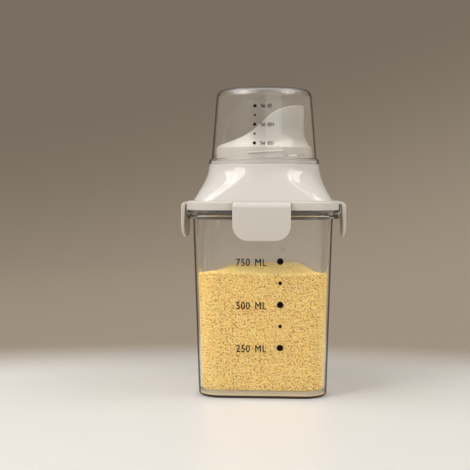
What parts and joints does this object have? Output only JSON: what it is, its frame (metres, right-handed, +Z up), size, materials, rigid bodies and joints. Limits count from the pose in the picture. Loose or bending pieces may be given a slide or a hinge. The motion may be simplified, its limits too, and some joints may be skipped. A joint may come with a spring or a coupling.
{
  "type": "cereal container",
  "caption": "Tall square clear food jar with a latched funnel lid, a fixed scoop-shaped pouring spout and a clear measuring cup over it as its cap, two thirds full of yellow grits.",
  "frame": {"origin": "on the table, under the middle of the jar", "axes": "+Z up; the front with the printed scale faces -Y; the high side of the spout is at +X"},
  "size_m": [0.121, 0.121, 0.2229],
  "materials": {
    "clear_plastic": "clear, polished, slightly grey at the edges",
    "cup_plastic": "clear, polished, a printed scale",
    "glossy_cream": "polished warm off-white",
    "satin_cream": "fine satin off-white",
    "silicone": "pale translucent silicone",
    "pin_steel": "drawn wire",
    "grits": "yellow grits of about 1.5 mm"
  },
  "bodies": {
    "jar": {"jar": "clear_plastic", "grits": "grits"},
    "lid": {"lid_rim": "satin_cream", "lid_gasket": "silicone", "funnel": "glossy_cream", "spout": "glossy_cream", "pin_front": "pin_steel", "pin_right": "pin_steel", "pin_back": "pin_steel", "pin_left": "pin_steel"},
    "cup_seal": {"cup_seal": "silicone"},
    "cup": {"cup": "cup_plastic"},
    "latch_front": {"latch_front": "satin_cream"},
    "latch_right": {"latch_right": "satin_cream"},
    "latch_back": {"latch_back": "satin_cream"},
    "latch_left": {"latch_left": "satin_cream"}
  },
  "joints": [
    {"name": "lid_lift", "type": "slide", "parent": "jar", "child": "lid", "axis": [0, 0, 1], "range_m": [0, 0.06]},
    {"name": "latch_front_swing", "type": "hinge", "parent": "lid", "child": "latch_front", "pos_m": [0, -0.0532, 0.1394], "axis": [-1, 0, 0], "range_deg": [-6, 95]},
    {"name": "latch_right_swing", "type": "hinge", "parent": "lid", "child": "latch_right", "pos_m": [0.0532, 0, 0.1394], "axis": [0, -1, 0], "range_deg": [-6, 95]},
    {"name": "latch_back_swing", "type": "hinge", "parent": "lid", "child": "latch_back", "pos_m": [0, 0.0532, 0.1394], "axis": [1, 0, 0], "range_deg": [-6, 95]},
    {"name": "latch_left_swing", "type": "hinge", "parent": "lid", "child": "latch_left", "pos_m": [-0.0532, 0, 0.1394], "axis": [0, 1, 0], "range_deg": [-6, 95]},
    {"name": "cup_lift", "type": "slide", "parent": "lid", "child": "cup_seal", "axis": [0, 0, 1], "range_m": [0, 0.06]},
    {"name": "cup_twist", "type": "hinge", "parent": "cup_seal", "child": "cup", "pos_m": [0, 0, 0.168], "axis": [0, 0, 1], "range_deg": [-44, 0]}
  ]
}
